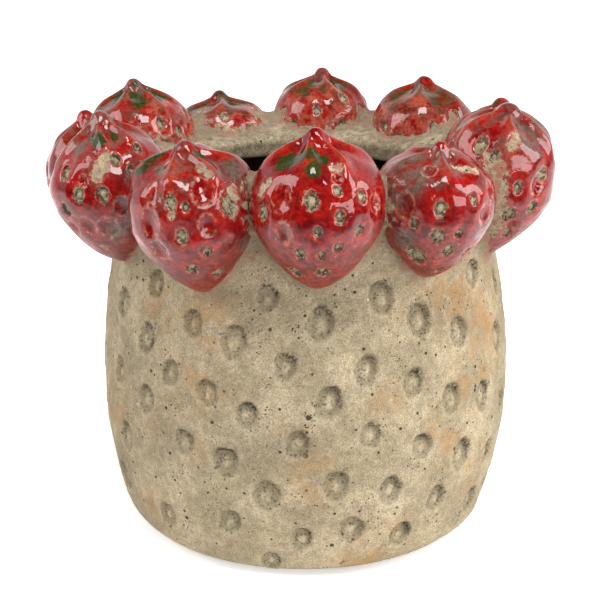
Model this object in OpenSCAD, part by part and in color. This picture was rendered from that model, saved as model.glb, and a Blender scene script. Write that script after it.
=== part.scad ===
// Round stoneware flower pot with a ring of moulded strawberries luted to its rim.
// Millimetres, +Z up, origin at the centre of the foot, the viewer's side is -Y.

/* [Pot body] */
// Radius of the pot at its widest level
belly_r = 73; // [60:0.5:90]
// Height of the widest level above the foot
belly_z = 50; // [40:1:60]
// Radius of the arc that draws the wall in below the widest level
low_bend_r = 130; // [100:1:200]
// Radius of the arc that draws the wall in above the widest level
high_bend_r = 255; // [230:5:400]
// Radius of the rounded edge round the foot
foot_round_r = 12; // [8:0.5:20]
// Height of the rim's outer edge
rim_z = 136; // [125:1:150]
// Radius of the collar that the strawberries sit round
collar_r = 68; // [64:0.5:72]
// Thickness of the wall
wall_t = 7; // [5:0.5:10]
// Thickness of the floor
floor_t = 9; // [6:0.5:14]

/* [Mouth] */
// Radius of the opening inside the lip
mouth_r = 47; // [38:0.5:54]
// Thickness of the lip at the opening
lip_t = 6.5; // [4:0.5:10]
// Fall of the rim's top from its outer edge to the opening
rim_fall = 6.5; // [3:0.5:10]
// Rounding of the rim's outer edge
rim_round_r = 3; // [1:0.5:5]

/* [Seed dimples in the body] */
// Columns of dimples round the body
dimple_columns = 32; // [20:2:36]
// Height between two dimples of one column
dimple_pitch = 26.6; // [20:0.2:34]
// Level of the lowest dimple
dimple_low_z = 12.2; // [10:0.2:16]
// Level above which the body has no dimples
dimple_top_z = 101; // [80:1:104]
// Angle from the front to the first column
dimple_turn = 10.3; // [0:0.1:20]
// Backward turn of a column over one pitch
dimple_slant = 2; // [0:0.1:4]
// Radius of the thumb tip that presses a dimple
dimple_ball_r = 8; // [5:0.1:10]
// Depth of a dimple
dimple_depth = 1.2; // [0.6:0.1:2]
// Most that the hand strays from the pattern
dimple_stray = 1.6; // [0:0.1:2]

/* [Strawberries] */
// How far outside the collar the strawberries' lower tips stand
berry_out = 2; // [0:0.5:5]
// Usual hang of a strawberry's lower tip below the rim
berry_drop = 32; // [26:0.5:38]
// Usual radius of a strawberry's belly
berry_r = 19.7; // [17:0.1:22]
// Usual height of a strawberry's belly above its lower tip
berry_tall = 26; // [20:0.5:32]
// Outward lean of a strawberry, in degrees
berry_lean = 7; // [0:0.5:12]
// Radius of the knob on a strawberry
knob_r = 3.1; // [2:0.1:4]
// Height of the knob's centre above the shoulder
knob_rise = 2.3; // [1.5:0.1:4]
// Radius at which the knob's foot runs out on the shoulder
knob_flare_r = 8; // [6:0.5:10]
// Clay slip between a strawberry and what it is luted to
slip_t = 0.15; // [0.1:0.05:0.4]

/* [Seed pits in the strawberries] */
// Seed pits in one turn round a strawberry
pit_columns = 9; // [6:1:11]
// Radius of the ball that presses a seed pit
pit_ball_r = 2.9; // [2:0.1:4]
// Depth of a seed pit
pit_depth = 1.1; // [0.5:0.1:1.6]
// Angle between two levels of seed pits
pit_step = 22; // [18:1:30]

/* [Hidden] */
// Each strawberry, in turn from the front towards +X: its angle round the pot, then its shares
// of the usual hang, belly radius and belly height
BERRIES = [
  [3, 0.98, 1.06, 1.00],
  [34, 0.97, 0.95, 0.88],
  [67, 1.00, 0.92, 1.06],
  [101, 1.06, 0.97, 0.90],
  [140, 1.04, 1.04, 0.92],
  [174, 1.00, 1.02, 0.96],
  [206, 1.00, 1.00, 0.74],
  [237, 1.00, 1.02, 0.98],
  [270, 1.06, 0.98, 0.88],
  [300, 0.99, 1.00, 1.00],
  [332, 1.10, 1.02, 0.98],
];
// Levels of seed pits, in steps from the belly
PIT_LEVELS = [-3, -2, -1, 0, 1];

berry_count = len(BERRIES);
function berry_name(i) = str("strawberry_", i < 9 ? "0" : "", i + 1);

// How far each stretch of the wall is let into the one above it
wall_weld = 1;
// How far the foot's rounding stands out past the low arc
foot_cross = 0.02;
// How far the knob's foot is let into the shoulder and the knob
knob_weld = 0.4;
// How far the tapering lower half is let into the round belly
belly_weld = 0.3;

clay = "#b6a687";
glaze = "#b3201f";
fine = 96;
reach = 200;

low_bend_x = belly_r - low_bend_r;
// The high arc draws the wall in to the collar, or flares it out to a collar that is wider
drawn_in = collar_r <= belly_r;
high_bend_x = belly_r - (drawn_in ? high_bend_r : -high_bend_r);
// Level where the high arc reaches the collar
collar_z = belly_z + sqrt(pow(high_bend_r, 2) - pow(high_bend_x - collar_r, 2));
// Centre of the foot's rounding, which crosses the low arc just above the level where they touch
foot_round_x = low_bend_x + foot_cross
  + sqrt(pow(low_bend_r - foot_round_r, 2) - pow(belly_z - foot_round_r, 2));
lip_top_z = rim_z - rim_fall;
lip_low_z = lip_top_z - lip_t;

// A number from -1 to 1 that looks drawn by lot, the same each time for one pair
function stray(i, j) =
  let (v = sin(i * 127.1 + j * 311.7) * 437.5) 2 * (v - floor(v)) - 1;

// Level where the low arc runs into the foot's rounding, inside the wall by an inset
function foot_top_z(inset) =
  belly_z - (belly_z - foot_round_r) * (low_bend_r - inset) / (low_bend_r - foot_round_r);

// Radius of the outer wall at a level
function wall_r(z) =
  z > collar_z ? collar_r
  : z > belly_z ? high_bend_x
    + (drawn_in ? 1 : -1) * sqrt(pow(high_bend_r, 2) - pow(z - belly_z, 2))
  : z > foot_top_z(0) ? low_bend_x + sqrt(pow(low_bend_r, 2) - pow(z - belly_z, 2))
  : foot_round_x + sqrt(pow(foot_round_r, 2) - pow(z - foot_round_r, 2));

// Half section of the pot from the widest level up to the collar, inside the wall by an inset
module high_section(inset) {
  if (drawn_in) intersection() {
    translate([high_bend_x, belly_z]) circle(high_bend_r - inset, $fn = fine);
    translate([0, belly_z]) square([reach, collar_z + wall_weld - belly_z]);
  }
  else difference() {
    translate([0, belly_z]) square([collar_r - inset, collar_z + wall_weld - belly_z]);
    translate([high_bend_x, belly_z]) circle(high_bend_r + inset, $fn = fine);
  }
}

// Half section of the pot up to a level, inside the wall by an inset
module wall_section(inset, top_z) {
  high_section(inset);
  intersection() {
    translate([low_bend_x, belly_z]) circle(low_bend_r - inset, $fn = fine);
    translate([0, foot_top_z(inset)]) square([reach, belly_z + wall_weld - foot_top_z(inset)]);
  }
  translate([foot_round_x, foot_round_r]) circle(foot_round_r - inset, $fn = fine);
  translate([0, inset]) square([foot_round_x, foot_round_r - inset]);
  translate([0, collar_z]) square([collar_r - inset, top_z - collar_z]);
}

// Half section of the rim: its top falls towards the opening
module rim_section() {
  polygon([
    [0, collar_z], [collar_r, collar_z], [collar_r, rim_z - rim_round_r],
    [collar_r - rim_round_r, rim_z], [mouth_r, lip_top_z], [0, lip_top_z],
  ]);
}

// The pot without its dimples: what the strawberries are luted to
module plain_body() {
  rotate_extrude($fn = fine) difference() {
    union() {
      wall_section(0, lip_low_z);
      rim_section();
    }
    intersection() {
      wall_section(wall_t, lip_low_z);
      translate([0, floor_t]) square([belly_r, lip_low_z - floor_t]);
    }
    translate([0, lip_low_z - lip_t]) square([mouth_r, rim_z]);
    translate([-reach, -reach]) square([reach, 2 * reach]);
  }
}

module dimple(angle, z) {
  rotate([0, 0, angle]) translate([0, -wall_r(z) - dimple_ball_r + dimple_depth, z])
    sphere(dimple_ball_r, $fn = 32);
}

// Dimples in slanting columns, every second column half a pitch higher
module dimples() {
  for (i = [0 : dimple_columns - 1]) {
    first_z = dimple_low_z + (i % 2) * dimple_pitch / 2;
    for (j = [0 : floor((dimple_top_z - first_z) / dimple_pitch)]) {
      z = first_z + j * dimple_pitch + dimple_stray * stray(i, j);
      turned = dimple_turn - dimple_slant * (j + (i % 2) / 2);
      strayed = dimple_stray / belly_r * 180 / PI * stray(j + 50, i);
      dimple(turned + i * 360 / dimple_columns + strayed, z);
    }
  }
}

module pot_body() {
  color(clay) difference() {
    plain_body();
    dimples();
  }
}

// Radius of the arc that tapers a strawberry from its belly to its tip on the axis
function taper_r(belly, tall) =
  let (waist = belly - belly_weld) (pow(waist, 2) + pow(tall, 2)) / (2 * waist);

// Half section of a strawberry, from its lower tip at the origin to its knob
module berry_section(belly, tall) {
  taper = taper_r(belly, tall);
  knob_z = tall + belly + knob_rise;
  flare_z = tall + sqrt(pow(belly, 2) - pow(knob_flare_r, 2));
  difference() {
    union() {
      translate([0, tall]) circle(belly, $fn = fine);
      intersection() {
        translate([belly - belly_weld - taper, tall]) circle(taper, $fn = fine);
        translate([-reach / 2, tall - reach]) square(reach);
      }
      polygon([
        [0, tall], [knob_flare_r, flare_z - knob_weld], [knob_r + knob_weld, tall + belly + knob_weld],
        [knob_r - knob_weld, knob_z], [0, knob_z],
      ]);
      translate([0, knob_z]) circle(knob_r, $fn = fine);
    }
    translate([-reach, -reach]) square([reach, 2 * reach]);
  }
}

// Seed pits in levels round a strawberry, every second level half a step round
module seed_pits(belly, tall) {
  taper = taper_r(belly, tall);
  for (level = PIT_LEVELS, i = [0 : pit_columns - 1]) {
    above = level >= 0;
    arc_x = above ? 0 : belly - belly_weld - taper;
    arc_r = above ? belly : taper;
    rise = pit_step * (level + 0.5) * (above ? 1 : belly / taper);
    rotate([0, 0, (i + (level % 2 == 0 ? 0 : 0.5)) * 360 / pit_columns])
      translate([arc_x, 0, tall]) rotate([0, -rise, 0])
        translate([arc_r + pit_ball_r - pit_depth, 0, 0]) sphere(pit_ball_r, $fn = 24);
  }
}

// Everything past the plane midway to a neighbour, which a strawberry is pared back from
module past_neighbour(angle, side) {
  rotate([0, 0, angle]) translate([side > 0 ? -slip_t / 2 : slip_t / 2 - reach, -reach, -reach])
    cube([reach, 2 * reach, 2 * reach]);
}

// The room that the pot takes from a strawberry: the wall above the belly, the rim, their slip
module seat() {
  rotate_extrude($fn = fine) {
    high_section(-slip_t);
    polygon([
      [0, collar_z], [collar_r + slip_t, collar_z], [collar_r + slip_t, rim_z - rim_round_r],
      [collar_r - rim_round_r, rim_z + slip_t], [mouth_r, lip_top_z + slip_t],
      [0, lip_top_z + slip_t],
    ]);
  }
}

// Places what stands for one strawberry at its place in the ring, leaning outward
module on_rim(i) {
  rotate([0, 0, BERRIES[i][0]])
    translate([0, -collar_r - berry_out, rim_z - berry_drop * BERRIES[i][1]])
      rotate([berry_lean, 0, 0]) children();
}

module strawberry(i) {
  angle = BERRIES[i][0];
  belly = berry_r * BERRIES[i][2];
  tall = berry_tall * BERRIES[i][3];
  before = BERRIES[(i + berry_count - 1) % berry_count][0] - (i == 0 ? 360 : 0);
  after = BERRIES[(i + 1) % berry_count][0] + (i == berry_count - 1 ? 360 : 0);
  color(glaze) difference() {
    on_rim(i) difference() {
      rotate_extrude($fn = fine) berry_section(belly, tall);
      seed_pits(belly, tall);
    }
    seat();
    past_neighbour((angle + after) / 2, 1);
    past_neighbour((angle + before) / 2, -1);
  }
}

pot_body();
for (i = [0 : berry_count - 1]) strawberry(i);
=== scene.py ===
"""Looks of a round stoneware pot with a ring of glazed strawberries luted to its rim.

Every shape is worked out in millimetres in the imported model's frame (+Z up, the foot at
z = 0, the viewer's side -Y) and handed to Blender in metres. The pot and the strawberries
replace their CAD nodes with hand-made forms: a pressed and smeared sandy body, and moulded
fruit whose red glaze breaks at ridges, seed pits and where wet clay was smeared on.
"""

import logging
import math
from dataclasses import dataclass, field
from enum import Enum
from functools import reduce
from itertools import product
from typing import NamedTuple

import bpy
import numpy as np
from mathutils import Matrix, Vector


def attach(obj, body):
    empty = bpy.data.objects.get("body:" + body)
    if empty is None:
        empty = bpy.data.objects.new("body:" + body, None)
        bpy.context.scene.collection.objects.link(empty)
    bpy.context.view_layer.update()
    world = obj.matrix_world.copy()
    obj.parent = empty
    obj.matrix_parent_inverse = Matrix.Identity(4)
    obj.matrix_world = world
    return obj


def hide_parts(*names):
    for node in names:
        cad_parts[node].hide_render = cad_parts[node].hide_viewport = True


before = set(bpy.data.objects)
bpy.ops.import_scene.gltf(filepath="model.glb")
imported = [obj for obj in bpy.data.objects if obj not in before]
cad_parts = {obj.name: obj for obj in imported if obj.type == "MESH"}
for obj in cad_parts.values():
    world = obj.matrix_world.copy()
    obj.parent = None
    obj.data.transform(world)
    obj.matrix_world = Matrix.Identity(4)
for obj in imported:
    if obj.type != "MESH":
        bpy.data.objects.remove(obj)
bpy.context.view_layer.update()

LOG = logging.getLogger("strawberry_pot")
METRES_PER_MM = 0.001

# Nearness to a mark where there is none, as a multiple of the mark's size.
FAR_FROM_MARK = 3.0

# Odd factors that scatter the corners of a noise's cells over the 32 bits of a word.
CORNER_FACTORS = np.array([374761393, 668265263, 1440662683])
SEED_FACTOR = 974634777
STIR_FACTOR = 1274126177
WORD = 0xFFFFFFFF
LOW_BITS = 0xFFFFFF
NOISE_ORIGIN = 1000.0

Socket = bpy.types.NodeSocket
Value = Socket | float
Tint = Socket | str | tuple[float, ...]
MarkPlaces = list[tuple[float, float, float]]
Limits = tuple[float, float]
NoiseLayers = tuple[tuple[float, float, int], ...]


class Slot(Enum):
    """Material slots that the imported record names."""

    BARE_CLAY = "bare_clay"
    RED_GLAZE = "red_glaze"


class Mark(Enum):
    """What the maker's hands and the kiln left on a strawberry."""

    SEED = "open pit with a bare seed"
    FILLED = "pit that the glaze ran into"
    WORN = "patch where the clay shows"
    LEAF = "dab of green"
    FILM = "grey film left by the kiln"


def ease(share: np.ndarray) -> np.ndarray:
    """Share from 0 to 1 with its start and end eased."""
    return share * share * (3.0 - 2.0 * share)


def smooth_step(low: float, high: float, value: np.ndarray) -> np.ndarray:
    """Eased ramp from 0 at the low value to 1 at the high one."""
    return ease(np.clip((value - low) / (high - low), 0.0, 1.0))


def fade(limits: Limits, value: np.ndarray) -> np.ndarray:
    """Eased ramp from 1 at the first limit to 0 at the second."""
    return 1.0 - smooth_step(*limits, value)


def ring_at(value: np.ndarray, middle: float, width: float) -> np.ndarray:
    """Soft ridge that is 1 where a value is at the middle, with a half width."""
    return np.exp(-(((value - middle) / width) ** 2))


def smooth_min(
    first: np.ndarray | float, second: np.ndarray, blend: np.ndarray | float
) -> np.ndarray:
    """Least of two distances, rounded off over a width, as a smeared fillet is."""
    overlap = np.maximum(blend - np.abs(first - second), 0.0) / blend
    return np.minimum(first, second) - overlap * overlap * blend / 4.0


def wrapped(degrees: np.ndarray | float) -> np.ndarray | float:
    """Angle turned into the range from -180 to 180 degrees."""
    return (degrees + 180.0) % 360.0 - 180.0


def value_noise(points: np.ndarray, cell: float, seed: int) -> np.ndarray:
    """Smooth noise that is the same in every run.

    Args:
        points: Places as rows of x, y, z in millimetres.
        cell: Size of one lump in millimetres.
        seed: Number that picks the pattern.

    Returns:
        One number from -1 to 1 for each place.
    """
    grid = points / cell + NOISE_ORIGIN
    low = np.floor(grid)
    share = ease(grid - low)
    corner = low.astype(np.int64)
    total = np.zeros(len(points))
    for step in product((0, 1), repeat=3):
        mixed = ((corner + step) @ CORNER_FACTORS + seed * SEED_FACTOR) & WORD
        mixed = ((mixed ^ (mixed >> 13)) * STIR_FACTOR) & WORD
        drawn = ((mixed ^ (mixed >> 16)) & LOW_BITS) / (LOW_BITS // 2) - 1.0
        total += drawn * np.where(step, share, 1.0 - share).prod(axis=1)
    return total


def layered_noise(points: np.ndarray, layers: NoiseLayers, seed: int = 0) -> np.ndarray:
    """Sum of noises, each with a height, a lump size and a number added to the seed."""
    return sum(height * value_noise(points, size, seed + own) for height, size, own in layers)


def stray(first: float, second: float) -> float:
    """Number from -1 to 1 that looks drawn by lot for a pair, the same as in the CAD source."""
    value = math.sin(math.radians(first * 127.1 + second * 311.7)) * 437.5
    return 2.0 * (value - math.floor(value)) - 1.0


def direction(turn: float, rise: float) -> tuple[float, float, float]:
    """Direction out of the pot, by degrees round from the front and degrees up."""
    turn, rise = math.radians(turn), math.radians(rise)
    return math.sin(turn) * math.cos(rise), -math.cos(turn) * math.cos(rise), math.sin(rise)


def make_grid_mesh(
    name: str,
    rows: np.ndarray,
    bottom: np.ndarray,
    top: np.ndarray,
    fields: dict[str, tuple[np.ndarray, float, float]],
) -> bpy.types.Object:
    """Closed mesh from rings of points with a pole at each end.

    Args:
        name: Name of the new object.
        rows: Rings in order, shaped (rings, points in a ring, 3), in millimetres.
        bottom: Pole before the first ring.
        top: Pole after the last ring.
        fields: Point values for the materials by name: for the rings, bottom and top.

    Returns:
        The new object, linked to the scene.
    """
    ring_count, around, _ = rows.shape
    points = np.concatenate([rows.reshape(-1, 3), bottom[None], top[None]])
    low_pole, high_pole = ring_count * around, ring_count * around + 1
    column = np.arange(around)
    following = (column + 1) % around
    first = (np.arange(ring_count - 1) * around)[:, None]
    quads = np.stack(
        [first + column, first + following, first + around + following, first + around + column],
        axis=-1,
    ).reshape(-1, 4)
    last = (ring_count - 1) * around
    low_fan = np.stack([np.full(around, low_pole), following, column], axis=1)
    high_fan = np.stack([np.full(around, high_pole), last + column, last + following], axis=1)
    mesh = bpy.data.meshes.new(name)
    mesh.from_pydata(
        (points * METRES_PER_MM).tolist(),
        [],
        quads.tolist() + low_fan.tolist() + high_fan.tolist(),
    )
    mesh.polygons.foreach_set("use_smooth", np.ones(len(mesh.polygons), dtype=bool))
    for field_name, (ring_values, low_value, high_value) in fields.items():
        layer = mesh.attributes.new(field_name, "FLOAT", "POINT")
        values = np.concatenate([ring_values.reshape(-1), [low_value, high_value]])
        layer.data.foreach_set("value", values.astype(np.float32))
    mesh.update()
    piece = bpy.data.objects.new(name, mesh)
    bpy.context.scene.collection.objects.link(piece)
    return piece


@dataclass(frozen=True)
class Strawberry:
    """One moulded strawberry as it stands on the rim, in millimetres and degrees.

    The form is measured from the belly's centre: a tapering lower half, a rounded shoulder, a
    knob on top, ridges that run down from the knob, and seed pits pressed in with a seed left
    standing in each. Marks are degrees down from the knob, degrees round from the side that
    faces out of the ring (towards the right of someone who looks at it), and a size.
    """

    index: int
    angle: float
    ring_r: float
    lean: float
    low_z: float
    knob_z: float
    belly: float
    hang: float
    shoulder: float
    taper: float
    ridges: int
    leaf: float
    smoke: float
    seen: dict[Mark, tuple[tuple[float, ...], ...]] = field(default_factory=dict)

    knob: float = 4.6
    pit_columns: int = 7
    pit_row: float = 4.9
    pit_first: float = 56.0
    pit_last: float = 156.0
    seen_sector: float = 82.0
    narrow_girth: float = 9.0
    narrow_columns: int = 5
    mark_vary: float = 0.12
    pit_vary: float = 0.17
    pit_least: float = 0.62
    pit_sideways: float = 0.16
    pit_updown: float = 0.055
    pit_turn: float = 0.21
    first_row_share: float = -0.1
    knob_core: float = 0.62
    knob_core_width: float = 9.0
    knob_core_power: float = 2.8
    knob_foot_width: float = 15.0
    slope: float = 0.94

    @property
    def node(self) -> str:
        """Name of the CAD node that this strawberry stands for."""
        return f"strawberry_{self.index + 1:02d}"

    def axes(self) -> tuple[np.ndarray, np.ndarray, np.ndarray, np.ndarray]:
        """Place of the belly's centre and the three directions of the strawberry.

        Returns:
            The centre, the sideways direction, the outward direction and the axis.
        """
        turn, tilt = math.radians(self.angle), math.radians(self.lean)
        out = np.array([math.sin(turn), -math.cos(turn), 0.0])
        side = np.array([math.cos(turn), math.sin(turn), 0.0])
        axis = out * math.sin(tilt) + np.array([0.0, 0.0, math.cos(tilt)])
        facing = out * math.cos(tilt) - np.array([0.0, 0.0, math.sin(tilt)])
        tip = out * self.ring_r + np.array([0.0, 0.0, self.low_z])
        return tip + axis * self.hang, side, facing, axis

    def rise(self) -> float:
        """Height of the rounded shoulder above the belly's centre."""
        length = (self.knob_z - self.low_z) / math.cos(math.radians(self.lean))
        return length - self.hang - self.knob

    def reach(self, polar: np.ndarray) -> np.ndarray:
        """Distance from the belly's centre to the plain surface.

        Args:
            polar: Angles from the knob, in radians.

        Returns:
            The distance for each angle.
        """
        sine, cosine = np.abs(np.sin(polar)) / self.belly, np.abs(np.cos(polar))
        power = self.shoulder
        upper = (sine**power + (cosine / self.rise()) ** power) ** (-1 / power)
        power = self.taper
        lower = (sine**power + (cosine / self.hang) ** power) ** (-1 / power)
        degrees = np.degrees(polar)
        knob = self.knob_core * np.exp(-((degrees / self.knob_core_width) ** self.knob_core_power))
        knob += (1.0 - self.knob_core) * ring_at(degrees, 0.0, self.knob_foot_width)
        return np.where(polar < math.pi / 2, upper, lower) + self.knob * knob

    def distance(self, points: np.ndarray) -> np.ndarray:
        """Rough distance from places to the plain surface, below 0 inside.

        Args:
            points: Places as rows of x, y, z.

        Returns:
            The distance of each place.
        """
        centre, _, _, axis = self.axes()
        offset = points - centre
        length = np.maximum(np.linalg.norm(offset, axis=-1), 1e-6)
        polar = np.arccos(np.clip(offset @ axis / length, -1.0, 1.0))
        return (length - self.reach(polar)) * self.slope

    def marks(self, kind: Mark) -> MarkPlaces:
        """Marks of one kind that the photograph shows.

        Args:
            kind: Which marks.

        Returns:
            Radians down, radians round and size of each.
        """
        found = []
        for number, (down, around, *size) in enumerate(self.seen.get(kind, ())):
            scale = size[0] if size else 1.0 + self.mark_vary * stray(number, self.index)
            found.append((math.radians(down), math.radians(around), scale))
        return found

    def pattern(self) -> MarkPlaces:
        """Seed pits in staggered rows, left out where the photograph shows the real ones.

        Returns:
            Radians down, radians round and size of each pit.
        """
        found = []
        polar, row = math.radians(self.pit_first), 0
        while polar < math.radians(self.pit_last):
            radius = float(self.reach(np.array([polar]))[0])
            girth = radius * math.sin(polar)
            columns = self.pit_columns if girth > self.narrow_girth else self.narrow_columns
            for column in range(columns):
                jitter = stray(self.index * 17 + row, column + 3)
                other = stray(column * 5 + 1, self.index * 11 + row)
                shift = 0.5 * (row % 2) + self.pit_sideways * jitter + self.pit_turn * self.index
                around = (column + shift) / columns * 360.0
                shown = self.seen and abs(wrapped(around + self.angle)) < self.seen_sector
                if shown or (row == 0 and other > self.first_row_share):
                    continue
                narrow = self.pit_least + (1.0 - self.pit_least) * girth / self.belly
                size = (1.0 + self.pit_vary * jitter) * min(1.0, narrow)
                down = polar + self.pit_updown * other
                found.append((down, math.radians(around), size))
            polar += self.pit_row / radius
            row += 1
        return found


# What the photograph shows on the five nearest strawberries, read off it to a degree or so.
SEEN = {
    0: {
        Mark.SEED: (
            (68, -9, 1.35), (60, 15, 0.8), (68, 38), (84, -55), (81, 15), (94, -4, 0.8), (96, 34),
            (111, 16), (118, -20), (118, 0, 0.7), (148, -39, 1.15), (143, 3, 1.1),
        ),
        Mark.FILLED: ((68, -37, 1.5), (77, 53), (97, -33, 1.3), (50, 17, 0.7)),
        Mark.WORN: ((66, -62, 1.2), (60, -57, 0.8), (39, 16, 0.7), (41, 23, 0.7)),
        Mark.LEAF: ((36, -55, 2.1), (29, -36, 1.4), (24, -14, 1.4), (30, 5, 1.2), (42, -8, 1.5)),
    },
    1: {
        Mark.FILM: ((52, -66, 3.4), (74, -82, 3.4), (36, -88, 3.0), (118, -66, 2.6)),
        Mark.SEED: (
            (75, -33, 1.1), (93, -57, 0.9), (104, -33, 1.25), (100, -12, 0.75), (137, -56, 1.7),
            (125, -16), (158, -7, 0.8), (68, 2, 0.8), (133, 20, 0.8),
        ),
        Mark.FILLED: ((65, 32, 1.2), (77, -68, 1.5), (38, -52), (85, 18, 1.3)),
        Mark.WORN: ((30, -6, 0.7), (34, 5, 0.8), (38, 13, 0.7), (43, 20, 0.7)),
    },
    2: {
        Mark.SEED: (
            (42, -104, 1.3), (73, -54), (104, -56, 1.3), (94, -31), (137, -43, 0.9), (61, -24),
            (49, -84, 0.9),
        ),
        Mark.FILLED: ((70, -31, 1.3), (46, 3), (120, -46, 0.9)),
        Mark.WORN: (
            (40, -66, 1.1), (34, -61, 1.0), (60, -80, 2.4), (78, -76, 2.3), (98, -74, 2.4),
            (118, -76, 2.6), (138, -80, 2.6), (56, 2, 0.8), (50, -92, 0.9),
        ),
        Mark.FILM: ((28, -40, 3.0), (24, 40, 2.6), (30, 95, 3.0)),
        Mark.LEAF: ((45, -105, 1.0),),
    },
    9: {
        Mark.FILM: ((76, 96, 3.2), (104, 84, 3.0), (128, 66, 2.6), (34, 20, 2.0)),
        Mark.SEED: (
            (83, 35, 1.2), (84, 59, 1.2), (64, 15), (99, 16), (52, 78, 1.0), (47, 112, 0.9),
            (66, 92, 0.8),
        ),
        Mark.FILLED: ((117, 35, 1.4), (121, 57, 1.7), (122, 11), (98, 75, 1.3), (70, 40, 0.8)),
        Mark.WORN: ((57, 60, 1.5), (66, 55, 1.2), (50, 66, 1.0), (148, 37, 0.8), (92, 92, 1.6)),
        Mark.LEAF: ((31, 57, 1.5), (24, 90, 1.0), (22, 34, 0.9)),
    },
    10: {
        Mark.FILM: ((44, -78, 3.0), (44, 96, 3.0), (66, 104, 3.2), (104, 88, 2.4)),
        Mark.SEED: (
            (85, 21, 1.1), (104, 42, 0.9), (129, 23, 1.1), (143, 59), (66, 67, 1.4), (60, 27, 0.7),
            (56, 13, 1.1), (136, -34, 0.8),
        ),
        Mark.FILLED: ((49, 45, 1.6), (74, -10, 1.7), (77, 44, 1.3), (101, -4, 1.4), (50, -4, 1.4)),
        Mark.WORN: (
            (58, 75, 1.2), (70, 70, 1.1), (30, 55, 0.9), (38, 58, 0.7), (66, 14, 0.8),
            (20, -30, 0.7),
        ),
        Mark.LEAF: ((13, 80, 1.1), (28, -22, 1.2), (30, -71, 2.0), (38, -50, 1.2)),
    },
}

# Turn round the ring, ring radius, lean, levels of the tip and knob, belly, hang, how square
# the shoulder and how full the taper is, ridges, green and grey film, from the front on.
ROWS = (
    (3.2, 70.4, 4.7, 104.5, 155.2, 20.9, 26.4, 2.2, 1.48, 6, 0.75, 0.08),
    (33.7, 70.2, 7.3, 105.0, 149.2, 18.6, 24.2, 2.9, 1.43, 5, 0.05, 0.70),
    (67.0, 66.8, 8.0, 103.3, 155.5, 18.5, 23.8, 3.0, 1.24, 6, 0.35, 0.65),
    (100.7, 69.0, 4.4, 102.0, 150.6, 19.6, 23.4, 2.4, 1.80, 6, 0.60, 0.80),
    (140.4, 70.2, 5.2, 102.8, 151.9, 20.5, 23.8, 2.6, 1.50, 5, 0.65, 0.75),
    (174.4, 69.4, 7.0, 103.8, 152.6, 19.6, 26.5, 2.6, 1.50, 6, 0.75, 0.60),
    (206.5, 69.8, 7.8, 103.0, 144.9, 19.7, 20.9, 2.8, 1.50, 5, 0.70, 0.85),
    (237.4, 70.3, 7.3, 103.8, 153.2, 20.1, 28.0, 2.2, 1.50, 6, 0.95, 0.85),
    (269.8, 70.2, 8.5, 101.9, 148.1, 17.6, 23.4, 2.05, 1.54, 5, 0.30, 0.60),
    (300.1, 70.1, 7.2, 103.8, 154.1, 20.1, 26.6, 1.8, 1.49, 6, 0.55, 0.65),
    (332.2, 69.0, 10.4, 100.4, 150.2, 19.9, 26.1, 3.3, 1.33, 5, 0.45, 0.60),
)
STRAWBERRIES = tuple(
    Strawberry(index, *row, seen=SEEN.get(index, {})) for index, row in enumerate(ROWS)
)


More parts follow.
